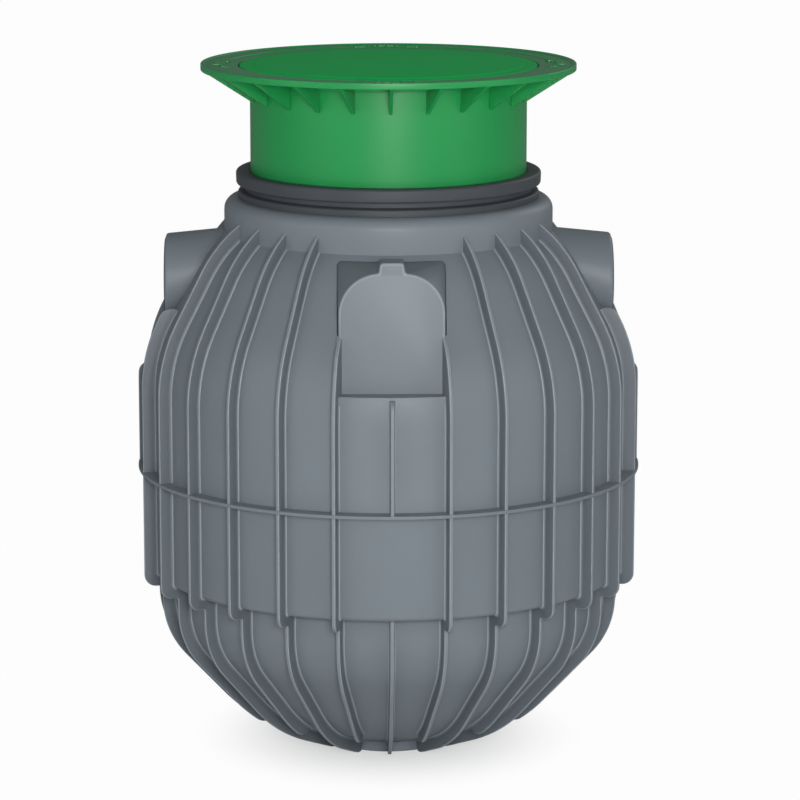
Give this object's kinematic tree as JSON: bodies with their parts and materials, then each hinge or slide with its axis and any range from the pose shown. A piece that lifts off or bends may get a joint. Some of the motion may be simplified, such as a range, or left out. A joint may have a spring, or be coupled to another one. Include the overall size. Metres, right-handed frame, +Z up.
{
  "type": "buried oil separator tank",
  "caption": "Ribbed round plastic separator tank with pipe sockets on two sides, float valve inside, telescopic riser and lift-off lid.",
  "frame": {"origin": "centre of the foot's flat underside", "axes": "+Z up along the tank's axis, -Y towards the front plate, -X towards the inlet, +X towards the outlet"},
  "size_m": [1.176, 1.176, 1.609],
  "materials": {
    "tank_plastic": "blue-grey moulded polyethylene, satin",
    "seal_rubber": "dark grey moulded rubber",
    "pipe_plastic": "green drain pipe, glossy",
    "trap_plastic": "blue moulded plastic, glossy",
    "cage_wire": "stainless wire",
    "float_plastic": "pale grey float",
    "stay_plastic": "white plastic tube",
    "riser_plastic": "green moulded polyethylene, satin",
    "lid_plastic": "green moulded plastic, satin"
  },
  "bodies": {
    "tank": {"lower_shell": "tank_plastic", "upper_shell": "tank_plastic", "neck_seal": "seal_rubber", "inlet_seal": "seal_rubber", "outlet_seal": "seal_rubber", "inlet_pipe": "pipe_plastic", "outlet_pipe": "pipe_plastic", "inlet_tee": "pipe_plastic", "inlet_coupler": "pipe_plastic", "inlet_bend": "pipe_plastic", "inlet_mouth": "pipe_plastic", "trap_bend": "trap_plastic", "trap_collar": "trap_plastic", "valve_seat": "pipe_plastic", "cage_rods": "cage_wire", "cage_foot_ring": "cage_wire", "cage_middle_ring": "cage_wire", "cage_top_ring": "cage_wire", "outlet_riser": "pipe_plastic", "outlet_coupler": "pipe_plastic", "outlet_bend": "pipe_plastic", "support_foot": "stay_plastic", "side_stay": "stay_plastic"},
    "float": {"float_ball": "float_plastic", "float_stem": "float_plastic"},
    "riser": {"riser_tube": "riser_plastic", "cover_frame": "riser_plastic"},
    "cover": {"lid": "lid_plastic"}
  },
  "joints": [
    {"name": "riser_slide", "type": "slide", "parent": "tank", "child": "riser", "axis": [0, 0, 1], "range_m": [-0.03, 0.05]},
    {"name": "lid_lift", "type": "slide", "parent": "riser", "child": "cover", "axis": [0, 0, 1], "range_m": [0, 0.3]},
    {"name": "float_rise", "type": "slide", "parent": "tank", "child": "float", "axis": [0, 0, 1], "range_m": [0, 0.25]}
  ]
}
